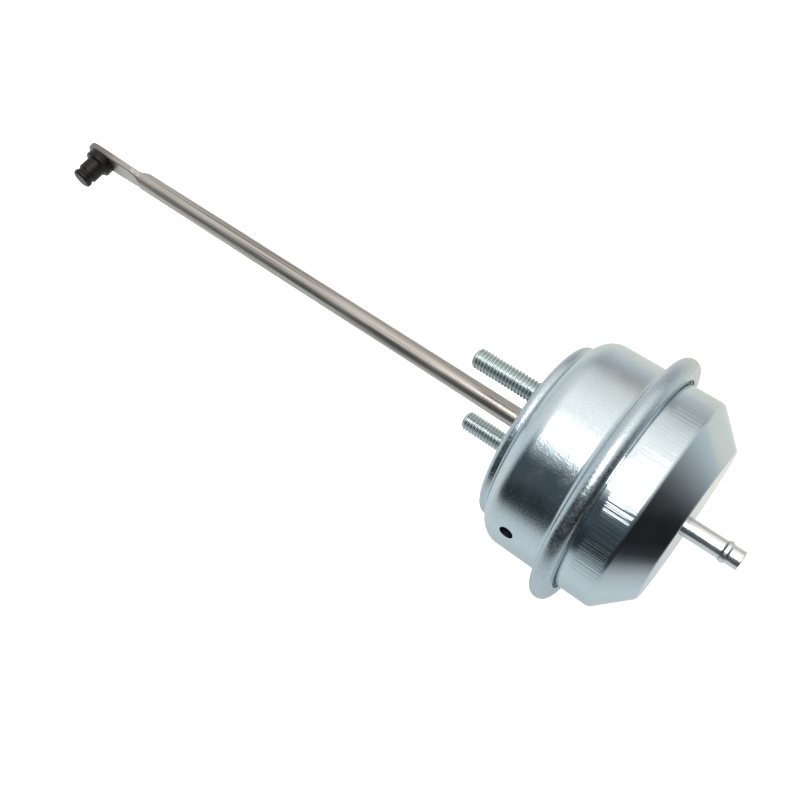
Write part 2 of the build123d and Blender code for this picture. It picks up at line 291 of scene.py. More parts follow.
def feed(tree, node, inputs):
    """Gives a node's inputs their values, or links them to a socket or to a node's first output."""
    for name, value in inputs.items():
        if isinstance(value, bpy.types.Node):
            value = value.outputs[0]
        if isinstance(value, bpy.types.NodeSocket):
            tree.links.new(value, node.inputs[name])
        else:
            node.inputs[name].default_value = value


def add_node(tree, kind, inputs=(), **settings):
    """Adds a node with its settings. Its inputs are given in their order, or by name."""
    node = tree.nodes.new(kind)
    for name, value in settings.items():
        setattr(node, name, value)
    feed(tree, node, inputs if isinstance(inputs, dict) else dict(enumerate(inputs)))
    return node


def show(name, data):
    """A new object in the scene."""
    made = bpy.data.objects.new(name, data)
    bpy.context.scene.collection.objects.link(made)
    return made


def sizes_of(kind):
    """One of the scene's groups of sizes."""
    return getattr(bpy.context.scene, "actuator_" + kind)


def profile_mesh(name, points):
    """A line of (x, radius, bend) points, which the spinning tree reads."""
    mesh = bpy.data.meshes.new(name)
    mesh.from_pydata([(x, r, 0) for x, r, bend in points], [(i, i + 1) for i in range(len(points) - 1)], [])
    bends = mesh.attributes.new("bend", "FLOAT", "POINT")
    for i, point in enumerate(points):
        bends.data[i].value = point[2]
    return mesh


def new_tree(name, inputs):
    """An empty geometry tree with named inputs, given kind by kind."""
    tree = bpy.data.node_groups.new(name, "GeometryNodeTree")
    tree.interface.new_socket("Geometry", in_out="OUTPUT", socket_type="NodeSocketGeometry")
    tree.interface.new_socket("Geometry", in_out="INPUT", socket_type="NodeSocketGeometry")
    for kind, labels in inputs.items():
        for label in labels:
            tree.interface.new_socket(label, in_out="INPUT", socket_type="NodeSocket" + kind)
    return tree, tree.nodes.new("NodeGroupInput")


def close_tree(tree, geometry, material):
    """Ends a tree in real faces with their material."""
    real = add_node(tree, "GeometryNodeRealizeInstances", [geometry])
    dressed = add_node(tree, "GeometryNodeSetMaterial", {"Geometry": real, "Material": material})
    add_node(tree, "NodeGroupOutput", [dressed])


def grow(name, base, tree, values, sharp_angle=32, thickness=0.0, lip=0.0):
    """Runs a geometry tree on a mesh and keeps the result as a plain mesh.

    With a thickness it becomes sheet metal, whose trimmed edges are rounded by the lip.
    """
    holder = show(name, base)
    modifier = holder.modifiers.new("Shape", "NODES")
    modifier.node_group = tree
    for item in tree.interface.items_tree:
        if item.in_out == "INPUT" and item.name in values:
            modifier[item.identifier] = values[item.name]
    if thickness:
        wall = holder.modifiers.new("Wall", "SOLIDIFY")
        wall.thickness = thickness
        wall.offset = -1
        wall.use_even_offset = True
        rim = holder.modifiers.new("Rim", "BEVEL")
        rim.width = lip
        rim.segments = 3
        rim.limit_method = "ANGLE"
        rim.angle_limit = math.radians(50)  # The trimmed edges alone are sharper.
    mesh = bpy.data.meshes.new_from_object(holder.evaluated_get(bpy.context.evaluated_depsgraph_get()))
    holder.modifiers.clear()
    holder.data = mesh
    mesh.name = name
    if not mesh.polygons:
        raise RuntimeError(f"{name} came out empty")
    mesh.shade_smooth()
    mesh.set_sharp_from_angle(angle=math.radians(sharp_angle))
    return holder


def spin(name, line, material, around, bend_steps, turn=(0.0, 0.0, 0.0), place=(0.0, 0.0, 0.0), **wall):
    """Spins a profile line round X, or round the axis that X is turned to."""
    values = {
        "Steps Round": around,
        "Bend Steps": bend_steps,
        "Turn": turn,
        "Place": place,
        "Material": material,
    }
    return grow(name, profile_mesh(name + " line", line), spin_tree(), values, **wall)


def put_on(piece, body, slot, *nodes):
    """The piece rides on a body and stands for those nodes."""
    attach(piece, body)
    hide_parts(*nodes)


# Geometry trees


def spin_tree():
    """Bends a profile line at its corners and spins it round X, then turns and places it."""
    name = "Spun profile"
    if name in bpy.data.node_groups:
        return bpy.data.node_groups[name]
    inputs = {"Int": ["Steps Round", "Bend Steps"], "Vector": ["Turn", "Place"], "Material": ["Material"]}
    tree, given = new_tree(name, inputs)
    line = add_node(tree, "GeometryNodeMeshToCurve", [given.outputs["Geometry"]])
    bend = add_node(tree, "GeometryNodeInputNamedAttribute", {"Name": "bend"}, data_type="FLOAT")
    bent = add_node(
        tree,
        "GeometryNodeFilletCurve",
        {
            "Curve": line,
            "Count": given.outputs["Bend Steps"],
            "Radius": bend.outputs["Attribute"],
            "Limit Radius": True,
        },
        mode="POLY",
    )
    # The profile is carried round by a circle, whose radius comes off the profile's own.
    carrier_r = 10 * MM
    parts = add_node(tree, "ShaderNodeSeparateXYZ", [add_node(tree, "GeometryNodeInputPosition")])
    radial = add_node(tree, "ShaderNodeMath", (parts.outputs["Y"], carrier_r), operation="SUBTRACT")
    along = add_node(tree, "ShaderNodeMath", (parts.outputs["X"], -1), operation="MULTIPLY")
    turned = add_node(tree, "ShaderNodeCombineXYZ", (radial, along))
    section = add_node(tree, "GeometryNodeSetPosition", {"Geometry": bent, "Position": turned})
    circle_inputs = {"Resolution": given.outputs["Steps Round"], "Radius": carrier_r}
    circle = add_node(tree, "GeometryNodeCurvePrimitiveCircle", circle_inputs)
    swept = add_node(tree, "GeometryNodeCurveToMesh", {"Curve": circle, "Profile Curve": section})
    onto_x = (0, math.radians(90), 0)
    upright = add_node(tree, "GeometryNodeTransform", {"Geometry": swept, "Rotation": onto_x})
    closed = add_node(tree, "GeometryNodeMergeByDistance", {"Geometry": upright, "Distance": 0.001 * MM})
    placed = add_node(
        tree,
        "GeometryNodeTransform",
        {"Geometry": closed, "Translation": given.outputs["Place"], "Rotation": given.outputs["Turn"]},
    )
    close_tree(tree, placed, given.outputs["Material"])
    return tree


def hole_tree():
    """Drills one round hole through a mesh."""
    name = "Drilled hole"
    if name in bpy.data.node_groups:
        return bpy.data.node_groups[name]
    inputs = {"Float": ["Radius", "Depth"], "Vector": ["Turn", "Place"], "Material": ["Material"]}
    tree, given = new_tree(name, inputs)
    drill = add_node(
        tree,
        "GeometryNodeMeshCylinder",
        {"Vertices": 64, "Radius": given.outputs["Radius"], "Depth": given.outputs["Depth"]},
    )
    placed = add_node(
        tree,
        "GeometryNodeTransform",
        {"Geometry": drill, "Translation": given.outputs["Place"], "Rotation": given.outputs["Turn"]},
    )
    meshes = {"Mesh 1": given.outputs["Geometry"], "Mesh 2": placed}
    cut = add_node(tree, "GeometryNodeMeshBoolean", meshes, operation="DIFFERENCE")
    close_tree(tree, cut, given.outputs["Material"])
    return tree


def round_x(tree, along, radius, angle):
    """The place at that distance along X, and at that radius and angle round it."""
    place = {"X": along}
    for axis, operation in (("Y", "COSINE"), ("Z", "SINE")):
        part = add_node(tree, "ShaderNodeMath", [angle], operation=operation)
        place[axis] = add_node(tree, "ShaderNodeMath", (radius, part), operation="MULTIPLY")
    return add_node(tree, "ShaderNodeCombineXYZ", place)


def thread_tree():
    """Winds a rolled thread round X: a grid whose rows run along the stud and whose columns run round it."""
    name = "Rolled thread"
    if name in bpy.data.node_groups:
        return bpy.data.node_groups[name]
    inputs = {
        "Float": ["Radius", "Length", "Pitch", "Depth", "Tip"],
        "Int": ["Steps Round", "Steps Along"],
        "Vector": ["Place"],
        "Material": ["Material"],
    }
    tree, given = new_tree(name, inputs)
    full_length, pitch = given.outputs["Length"], given.outputs["Pitch"]
    full_radius = given.outputs["Radius"]
    steps = (given.outputs["Steps Along"], given.outputs["Steps Round"])
    grid = add_node(tree, "GeometryNodeMeshGrid", (1, 1, *steps))
    parts = add_node(tree, "ShaderNodeSeparateXYZ", [add_node(tree, "GeometryNodeInputPosition")])
    share = add_node(tree, "ShaderNodeMath", (parts.outputs["X"], 0.5), operation="ADD")
    turn = add_node(tree, "ShaderNodeMath", (parts.outputs["Y"], 0.5), operation="ADD")
    angle = add_node(tree, "ShaderNodeMath", (turn, 2 * math.pi), operation="MULTIPLY")
    # The last rows close the end face.
    end_rows = 0.015
    run = add_node(tree, "ShaderNodeMath", (share, 1 - end_rows), operation="DIVIDE", use_clamp=True)
    rest = add_node(tree, "ShaderNodeMath", (1, share), operation="SUBTRACT")
    closing = add_node(tree, "ShaderNodeMath", (rest, end_rows), operation="DIVIDE", use_clamp=True)
    along = add_node(tree, "ShaderNodeMath", (run, full_length), operation="MULTIPLY")
    turns = add_node(tree, "ShaderNodeMath", (along, pitch), operation="DIVIDE")
    wave = add_node(tree, "ShaderNodeMath", (turns, turn), operation="SUBTRACT")
    # A triangle wave whose crests and roots are flattened, as a thread roller leaves them.
    crest, flank, rounding = 0.16, 0.62, 0.12
    for operation, *others in (
        ("FRACT",),
        ("MULTIPLY_ADD", 2, -1),
        ("ABSOLUTE",),
        ("SUBTRACT", crest),
        ("DIVIDE", flank),
        ("SMOOTH_MAX", 0, rounding),
        ("SMOOTH_MIN", 1, rounding),
    ):
        wave = add_node(tree, "ShaderNodeMath", (wave, *others), operation=operation)
    # The thread runs out where the stud leaves the pad.
    first_turn = add_node(tree, "ShaderNodeMath", (pitch, 0.8), operation="MULTIPLY")
    fade = add_node(tree, "ShaderNodeMath", (along, first_turn), operation="DIVIDE", use_clamp=True)
    cut = add_node(tree, "ShaderNodeMath", (wave, given.outputs["Depth"]), operation="MULTIPLY")
    cut = add_node(tree, "ShaderNodeMath", (cut, fade), operation="MULTIPLY")
    threaded = add_node(tree, "ShaderNodeMath", (full_radius, cut), operation="SUBTRACT")
    to_tip = add_node(tree, "ShaderNodeMath", (full_length, along), operation="SUBTRACT")
    tip_radius = add_node(tree, "ShaderNodeMath", (full_radius, given.outputs["Tip"]), operation="SUBTRACT")
    cone = add_node(tree, "ShaderNodeMath", (tip_radius, to_tip), operation="ADD")
    outer = add_node(tree, "ShaderNodeMath", (threaded, cone), operation="MINIMUM")
    radius = add_node(tree, "ShaderNodeMath", (outer, closing), operation="MULTIPLY")
    wound = round_x(tree, along, radius, angle)
    shaped = add_node(tree, "GeometryNodeSetPosition", {"Geometry": grid, "Position": wound})
    closed = add_node(tree, "GeometryNodeMergeByDistance", {"Geometry": shaped, "Distance": 0.0005 * MM})
    moved = {"Geometry": closed, "Translation": given.outputs["Place"]}
    placed = add_node(tree, "GeometryNodeTransform", moved)
    both = add_node(tree, "GeometryNodeJoinGeometry", [given.outputs["Geometry"]])
    feed(tree, both, {0: placed})
    close_tree(tree, both, given.outputs["Material"])
    return tree


def coil_tree():
    """Winds a wire round X, with one closed turn at each end and open turns between them."""
    numbers = ["Wire", "Radius", "Start", "Rise", "End Pitch", "Open Turns"]
    tree, given = new_tree("Wound spring", {"Float": numbers, "Material": ["Material"]})
    open_turns, end_pitch = given.outputs["Open Turns"], given.outputs["End Pitch"]
    line = add_node(tree, "GeometryNodeCurvePrimitiveLine")
    points = add_node(tree, "GeometryNodeResampleCurve", {"Curve": line, "Count": 400})
    share = add_node(tree, "GeometryNodeSplineParameter").outputs["Factor"]
    all_turns = add_node(tree, "ShaderNodeMath", (open_turns, 2), operation="ADD")
    turn = add_node(tree, "ShaderNodeMath", (share, all_turns), operation="MULTIPLY")
    closed_rise = add_node(tree, "ShaderNodeMath", (end_pitch, 2), operation="MULTIPLY")
    open_rise = add_node(tree, "ShaderNodeMath", (given.outputs["Rise"], closed_rise), operation="SUBTRACT")
    open_pitch = add_node(tree, "ShaderNodeMath", (open_rise, open_turns), operation="DIVIDE")
    # How many of the turns so far are open ones. The others are closed.
    after_first = add_node(tree, "ShaderNodeMath", (turn, 1), operation="SUBTRACT")
    opened = add_node(tree, "ShaderNodeClamp", (after_first, 0, open_turns))
    closed = add_node(tree, "ShaderNodeMath", (turn, opened), operation="SUBTRACT")
    along = given.outputs["Start"]
    for turns, pitch in ((opened, open_pitch), (closed, end_pitch)):
        along = add_node(tree, "ShaderNodeMath", (turns, pitch, along), operation="MULTIPLY_ADD")
    angle = add_node(tree, "ShaderNodeMath", (turn, 2 * math.pi), operation="MULTIPLY")
    wound = round_x(tree, along, given.outputs["Radius"], angle)
    path = add_node(tree, "GeometryNodeSetPosition", {"Geometry": points, "Position": wound})
    section = {"Resolution": 20, "Radius": given.outputs["Wire"]}
    wire = add_node(tree, "GeometryNodeCurvePrimitiveCircle", section)
    swept = {"Curve": path, "Profile Curve": wire, "Fill Caps": True}
    solid = add_node(tree, "GeometryNodeCurveToMesh", swept)
    close_tree(tree, solid, given.outputs["Material"])
    return tree


# Finishes

# The colour sockets of a Mix node, whose names its sockets for numbers and vectors share.
FIRST, SECOND, MIXED = 6, 7, 2


def new_finish(name, colour, metallic, roughness):
    """A material with one shader, and its Object coordinates."""
    material = bpy.data.materials.get(name)
    if material is not None:
        bpy.data.materials.remove(material)
    material = bpy.data.materials.new(name)
    material.use_nodes = True
    tree = material.node_tree
    tree.nodes.clear()
    inputs = {"Base Color": colour, "Metallic": metallic, "Roughness": roughness}
    shader = add_node(tree, "ShaderNodeBsdfPrincipled", inputs)
    add_node(tree, "ShaderNodeOutputMaterial", {"Surface": shader})
    place = add_node(tree, "ShaderNodeTexCoord").outputs["Object"]
    return material, tree, shader, place


def grain(tree, place, size_mm, detail=2.0, stretch=(1, 1, 1)):
    """Noise whose grains are about that size, drawn out along an axis by a stretch below 1."""
    scaled = add_node(tree, "ShaderNodeMapping", {"Vector": place, "Scale": stretch})
    inputs = {"Vector": scaled, "Scale": 1 / (size_mm * MM), "Detail": detail, "Roughness": 0.5}
    return add_node(tree, "ShaderNodeTexNoise", inputs)


def zinc_on_drawn_steel(name, smooth, dull, pits, depths, lines_between=None, worked_beyond=None):
    """Clear zinc on deep-drawn sheet: a cool mirror that etched pits and drawing lines break up.

    The depths are those of the pits, the lines and the dents, in millimetres.
    """
    colours = sizes_of("finishes")
    material, tree, shader, place = new_finish(name, colours.zinc, 1.0, smooth)
    along = add_node(tree, "ShaderNodeSeparateXYZ", [place]).outputs["X"]
    # Where the sheet was worked most, at the pad's edge and on the bead, it is coarser and duller.
    worked = 0.0
    if worked_beyond:
        bead_x, pad_x = worked_beyond
        on_bead = add_node(tree, "ShaderNodeMapRange", (along, bead_x, bead_x - 1 * MM))
        on_pad = add_node(tree, "ShaderNodeMapRange", (along, pad_x, pad_x + 1 * MM))
        worked = add_node(tree, "ShaderNodeMath", (on_bead, on_pad), operation="ADD")
    # The plating's thickness drifts over 20 mm or so, which tints it from blue to straw.
    drift = add_node(tree, "ShaderNodeMapRange", (grain(tree, place, 22, 1.0), 0.55, 0.8))
    mix = {0: drift, FIRST: colours.zinc, SECOND: colours.straw}
    plating = add_node(tree, "ShaderNodeMix", mix, data_type="RGBA").outputs[MIXED]
    # Pits of the etched sheet, about 0.3 mm across, make the edges of reflections grainy.
    fine = grain(tree, place, 0.3)
    coarse = grain(tree, place, 0.8, 3.0)
    pitted = add_node(tree, "ShaderNodeMapRange", (fine, 0.54, 0.7, 0, pits))
    pitted = add_node(tree, "ShaderNodeMath", (worked, 0.35, pitted), operation="MULTIPLY_ADD")
    mix = {0: pitted, FIRST: plating, SECOND: colours.zinc_dark}
    etched = add_node(tree, "ShaderNodeMix", mix, data_type="RGBA").outputs[MIXED]
    # Clouds of 5 mm leave the sheet duller in places, and a few matt pits show as pale specks.
    cloudy = add_node(tree, "ShaderNodeMapRange", (grain(tree, place, 5, 3.0), 0.35, 0.65, smooth, dull))
    specks = add_node(tree, "ShaderNodeMapRange", (grain(tree, place, 0.45, 1.0), 0.68, 0.76, 0, 0.4 * pits))
    scuffs = add_node(tree, "ShaderNodeMapRange", (coarse, 0.4, 0.65, 0.02, 0.16))
    dullness = add_node(tree, "ShaderNodeMath", (cloudy, specks), operation="ADD")
    dullness = add_node(tree, "ShaderNodeMath", (worked, scuffs, dullness), operation="MULTIPLY_ADD")
    # Scratches along the draw direction, about 0.2 mm wide and as long as the wall, comb the reflections.
    scratches = grain(tree, place, 0.2, 1.0, (0.004, 1, 1))
    lines = add_node(tree, "ShaderNodeMapRange", (scratches, 0.42, 0.72))
    if lines_between:
        bead_end, cone_end = lines_between
        from_bead = add_node(tree, "ShaderNodeMapRange", (along, bead_end, bead_end - 1 * MM, 0.15, 1))
        to_cone = add_node(tree, "ShaderNodeMapRange", (along, cone_end, cone_end + 0.6 * MM))
        for mask in (from_bead, to_cone):
            lines = add_node(tree, "ShaderNodeMath", (lines, mask), operation="MULTIPLY")
    # Dents of 8 mm, a few hundredths deep, bend the edges of long reflections.
    dents = grain(tree, place, 8, 1.0)
    height = add_node(tree, "ShaderNodeMath", (coarse, worked), operation="MULTIPLY")
    height = add_node(tree, "ShaderNodeMath", (height, 0.03 * MM), operation="MULTIPLY")
    for pattern, depth in zip((fine, lines, dents), depths):
        height = add_node(tree, "ShaderNodeMath", (pattern, depth * MM, height), operation="MULTIPLY_ADD")
    # The height is in metres already, so the bump's own distance is 1.
    surface = {
        "Base Color": etched,
        "Roughness": dullness,
        "Specular Tint": colours.zinc_edge,
        "Normal": add_node(tree, "ShaderNodeBump", {"Height": height, "Distance": 1.0}),
    }
    feed(tree, shader, surface)
    return material


def bright_tube():
    """Bright plated tube: nearly a mirror, with faint turning lines."""
    colours = sizes_of("finishes")
    material, tree, shader, place = new_finish("Bright plated tube", colours.tube, 1.0, 0.12)
    lines = grain(tree, place, 0.3, 2.0, (0.08, 1, 1))
    waves = grain(tree, place, 0.9, 2.0, (0.3, 1, 1))
    surface = {
        "Roughness": add_node(tree, "ShaderNodeMapRange", (lines, 0.3, 0.7, 0.15, 0.36)),
        "Normal": add_node(tree, "ShaderNodeBump", {"Height": waves, "Distance": 0.06 * MM, "Strength": 0.8}),
    }
    feed(tree, shader, surface)
    return material


def zinc_thread():
    """Zinc on a rolled thread: cool and slightly dull, with a painted grey-green shade in the roots."""
    colours = sizes_of("finishes")
    stud = sizes_of("stud")
    material, tree, shader, place = new_finish("Zinc on rolled thread", colours.thread, 1.0, 0.3)
    # Distance from the nearer stud's axis tells the thread's crests from its roots.
    parts = add_node(tree, "ShaderNodeSeparateXYZ", [place])
    height = add_node(tree, "ShaderNodeMath", [parts.outputs["Z"]], operation="ABSOLUTE")
    above = add_node(tree, "ShaderNodeMath", (height, stud.offset), operation="SUBTRACT")
    off_axis = add_node(tree, "ShaderNodeCombineXYZ", {"Y": parts.outputs["Y"], "Z": above})
    across = add_node(tree, "ShaderNodeVectorMath", [off_axis], operation="LENGTH").outputs["Value"]
    root_r = stud.radius - stud.depth * 0.9
    flank_r = stud.radius - stud.depth * 0.35
    # Painted shade: towards the roots the colour darkens, as shade falls there.
    root = add_node(tree, "ShaderNodeMapRange", (across, root_r, flank_r, 0.55, 0))
    mix = {0: root, FIRST: colours.thread, SECOND: colours.thread_root_shade}
    fine = grain(tree, place, 0.5, 3.0)
    surface = {
        "Base Color": add_node(tree, "ShaderNodeMix", mix, data_type="RGBA").outputs[MIXED],
        "Roughness": add_node(tree, "ShaderNodeMapRange", (fine, 0.35, 0.7, 0.28, 0.38)),
    }
    feed(tree, shader, surface)
    return material


def drawn_bar():
    """Drawn stainless bar: warm satin grey, with dark lines along its length and painted shade round the pin.
    """
    colours = sizes_of("finishes")
    pin = sizes_of("pin")
    material, tree, shader, place = new_finish("Drawn stainless bar", colours.bar, 1.0, 0.32)
    # Drawing lines, 0.35 mm apart and 40 mm long, some of them darkened.
    lines = grain(tree, place, 0.35, 3.0, (0.008, 1, 1))
    darkened = add_node(tree, "ShaderNodeMapRange", (lines, 0.5, 0.64, 0, 0.85))
    mix = {0: darkened, FIRST: colours.bar, SECOND: colours.bar_lines_and_shade}
    lined = add_node(tree, "ShaderNodeMix", mix, data_type="RGBA").outputs[MIXED]
    # Painted shade: the flat eye darkens towards the pin's collar, where shade falls.
    from_pin = add_node(tree, "ShaderNodeVectorMath", (place, (pin.reach, 0.0, 0.0)), operation="DISTANCE")
    pin_shade_run = (from_pin.outputs["Value"], pin.collar_r, 2.4 * pin.collar_r, 0.9, 0)
    pin_shade = add_node(tree, "ShaderNodeMapRange", pin_shade_run)
    mix = {0: pin_shade, FIRST: lined, SECOND: colours.bar_lines_and_shade}
    clouds = grain(tree, place, 6, 2.0, (0.3, 1, 1))
    surface = {
        "Base Color": add_node(tree, "ShaderNodeMix", mix, data_type="RGBA").outputs[MIXED],
        "Roughness": add_node(tree, "ShaderNodeMapRange", (clouds, 0.35, 0.65, 0.27, 0.36)),
        "Normal": add_node(tree, "ShaderNodeBump", {"Height": lines, "Distance": 0.02 * MM, "Strength": 0.6}),
    }
    feed(tree, shader, surface)
    return material


def black_oxide():
    """Black oxide on turned steel: a thin dark skin with soft grey highlights."""
    colours = sizes_of("finishes")
    material, tree, shader, place = new_finish("Black oxide on turned steel", colours.black, 0.6, 0.36)
    fine = grain(tree, place, 0.45, 3.0)
    worn = add_node(tree, "ShaderNodeMapRange", (fine, 0.45, 0.75))
    mix = {0: worn, FIRST: colours.black, SECOND: colours.black_worn}
    surface = {
        "Base Color": add_node(tree, "ShaderNodeMix", mix, data_type="RGBA").outputs[MIXED],
        "Roughness": add_node(tree, "ShaderNodeMapRange", (fine, 0.35, 0.7, 0.3, 0.46)),
        "Normal": add_node(tree, "ShaderNodeBump", {"Height": fine, "Distance": 0.015 * MM, "Strength": 0.5}),
    }
    feed(tree, shader, surface)
    return material


def rubber(name, colour, size_mm):
    """Moulded rubber: dull, with a fine grain."""
    material, tree, shader, place = new_finish(name, colour, 0.0, 0.6)
    fine = grain(tree, place, size_mm)
    surface = {
        "Roughness": add_node(tree, "ShaderNodeMapRange", (fine, 0.3, 0.7, 0.5, 0.72)),
        "Normal": add_node(tree, "ShaderNodeBump", {"Height": fine, "Distance": 0.03 * MM, "Strength": 0.5}),
    }
    feed(tree, shader, surface)
    return material


def inner_metal(name, colour, roughness, size_mm):
    """Metal inside the canister, with a fine grain of its own size."""
    material, tree, shader, place = new_finish(name, colour, 1.0, roughness)
    fine = grain(tree, place, size_mm, 3.0)
    smoother, duller = roughness * 0.8, roughness * 1.25
    surface = {
        "Roughness": add_node(tree, "ShaderNodeMapRange", (fine, 0.3, 0.7, smoother, duller)),
        "Normal": add_node(tree, "ShaderNodeBump", {"Height": fine, "Distance": 0.02 * MM, "Strength": 0.5}),
    }
    feed(tree, shader, surface)
    return material


# Pieces


class ACTUATOR_OT_spun_cups(bpy.types.Operator):
    """Spin the front cup with its bead and the back cup with its cone"""

    bl_idname = "actuator.spun_cups"
    bl_label = "Spin the two cups"

    def execute(self, context):
        can = context.scene.actuator_can
        stud = context.scene.actuator_stud
        nipple = context.scene.actuator_nipple
        crimp_x = -can.front_depth
        lip_x = crimp_x - can.crimp_width
        sheet = {
            "around": can.around,
            "bend_steps": can.bend_steps,
            "thickness": can.sheet,
            "lip": can.lip_round,
        }
        front_line = [
            (0, can.pad_hole_r, 0),
            (0, can.pad_r, can.pad_bend_r),
            (-can.pad_height, can.pad_r, can.pad_root_r),
            (-can.pad_height - can.shoulder_run, can.shell_r, can.shoulder_r),
            (crimp_x, can.shell_r, can.crimp_root_r),
            (crimp_x, can.crimp_r, can.crimp_crest_r),
            (lip_x, can.crimp_r, can.crimp_crest_r),
            (lip_x, can.crimp_lip_r, 0),
        ]
        front_zinc = zinc_on_drawn_steel(
            "Zinc on drawn steel, front cup",
            smooth=0.12,
            dull=0.2,
            pits=0.5,
            depths=(0.034, 0.004, 0.02),
            worked_beyond=(crimp_x, -can.pad_height),
        )
        cup = spin("front_cup_solid", front_line, front_zinc, **sheet)
        through_pad = (0, math.radians(90), 0)
        through_wall = (math.radians(90), 0, 0)
        drill_length = 8 * MM
        for place, turn, radius in (
            ((can.vent_x, can.shell_r, 0), through_wall, can.vent_r),
            ((0, 0, stud.offset), through_pad, can.stud_hole_r),
            ((0, 0, -stud.offset), through_pad, can.stud_hole_r),
        ):
            drilled = {"Radius": radius, "Depth": drill_length, "Turn": turn, "Place": place}
            drilled["Material"] = front_zinc
            former = cup
            cup = grow("front_cup", former.data, hole_tree(), drilled)
            bpy.data.objects.remove(former)
        self.shade_inside(cup, can)
        put_on(cup, CANISTER, "zinc_shell", "front_shell")

        clamp_x = lip_x + can.sheet
        cone_x = lip_x - can.back_depth
        end_x = cone_x - can.cone_length
        nipple_clearance = 0.05 * MM
        back_line = [
            (clamp_x, can.flange_r, 0),
            (clamp_x, can.back_r, can.back_root_r),
            (cone_x, can.back_r, can.cone_bend_r),
            (end_x, can.end_r, can.end_bend_r),
            (end_x, nipple.radius + nipple_clearance, 0),
        ]
        back_zinc = zinc_on_drawn_steel(
            "Zinc on drawn steel, back cup",
            smooth=0.08,
            dull=0.14,
            pits=0.25,
            depths=(0.008, 0.022, 0.03),
            lines_between=(lip_x - 1.5 * MM, cone_x),
        )
        back = spin("back_cup", back_line, back_zinc, **sheet)
        put_on(back, CANISTER, "zinc_shell", "back_shell")
        return {"FINISHED"}

    def shade_inside(self, cup, can):
        """The inside of the front cup and the wall of its vent hole get a dark grey as painted shade."""
        colours = sizes_of("finishes")
        # Painted shade: the inside faces and the vent hole's wall take a dark grey that stands in for the
        # shade inside the canister.
        cup.data.materials.append(inner_metal("Zinc inside the cup in painted shade", colours.shade, 0.6, 0.5))
        # Behind this place lies the bead, which is bright all over.
        bead_x = 0.5 * MM - can.front_depth
        for face in cup.data.polygons:
            centre, normal = face.center, face.normal
            # A face inside the cup looks towards the axis or back along it.
            to_axis = -(normal.y * centre.y + normal.z * centre.z) / math.hypot(centre.y, centre.z)
            inward = to_axis > 0.3 or normal.x < -0.5
            from_vent = math.hypot(centre.x - can.vent_x, centre.z)
            vent_wall = centre.y > 0 and from_vent < can.vent_r and abs(normal.y) < 0.5
            if (centre.x > bead_x and inward) or vent_wall:
                face.material_index = 1


class ACTUATOR_OT_threaded_studs(bpy.types.Operator):
    """Wind the rolled threads of the two mounting studs"""

    bl_idname = "actuator.threaded_studs"
    bl_label = "Wind the studs"

    def execute(self, context):
        stud = context.scene.actuator_stud
        material = zinc_thread()
        back_x = -stud.neck_length - stud.head_t
        neck = [
            (0, 0, 0),
            (0, stud.neck_r, 0),
            (-stud.neck_length, stud.neck_r, 0),
            (-stud.neck_length, stud.head_r, 0.2 * MM),
            (back_x, stud.head_r, 0.4 * MM),
            (back_x, 0, 0),
        ]
        thread = {
            "Radius": stud.radius,
            "Length": stud.length,
            "Pitch": stud.pitch,
            "Depth": stud.depth,
            "Tip": stud.tip,
            "Steps Round": 49,
            "Steps Along": 320,
            "Material": material,
        }
        for name, side in (("stud_upper", 1), ("stud_lower", -1)):
            place = (0.0, 0.0, side * stud.offset)
            head = spin(name + "_head", neck, material, around=64, bend_steps=3, place=place)
            values = {**thread, "Place": place}
            piece = grow(name + "_thread", head.data, thread_tree(), values, sharp_angle=50)
            bpy.data.objects.remove(head)
            put_on(piece, CANISTER, "zinc_stud", name)
        return {"FINISHED"}


class ACTUATOR_OT_hose_nipple(bpy.types.Operator):
    """Spin the hose nipple with its ring"""

    bl_idname = "actuator.hose_nipple"
    bl_label = "Spin the hose nipple"

    def execute(self, context):
        nipple = context.scene.actuator_nipple
        can = context.scene.actuator_can
        end_x = -can.front_depth - can.crimp_width - can.back_depth - can.cone_length
        wall_x = end_x + can.sheet
        collar_x = wall_x + nipple.collar_t
        tip_x = end_x - nipple.length
        ring_x = tip_x + nipple.ring_from_tip
        crest_x = ring_x + nipple.ring_width
        ring_bend_r = 0.6 * MM
        line = [
            (collar_x, nipple.bore_r, 0.1 * MM),
            (collar_x, nipple.collar_r, 0.2 * MM),
            (wall_x, nipple.collar_r, 0.1 * MM),
            (wall_x, nipple.radius, 0),
            (crest_x + nipple.ring_slope, nipple.radius, ring_bend_r),
            (crest_x, nipple.ring_r, ring_bend_r),
            (ring_x, nipple.ring_r, ring_bend_r),
            (ring_x - nipple.ring_slope, nipple.radius, ring_bend_r),
            (tip_x, nipple.radius, 0.35 * MM),
            (tip_x, nipple.bore_r, 0.25 * MM),
            (collar_x, nipple.bore_r, 0),
        ]
        piece = spin("hose_nipple_tube", line, bright_tube(), around=96, bend_steps=5)
        put_on(piece, CANISTER, "bright_tube", "hose_nipple")
        return {"FINISHED"}


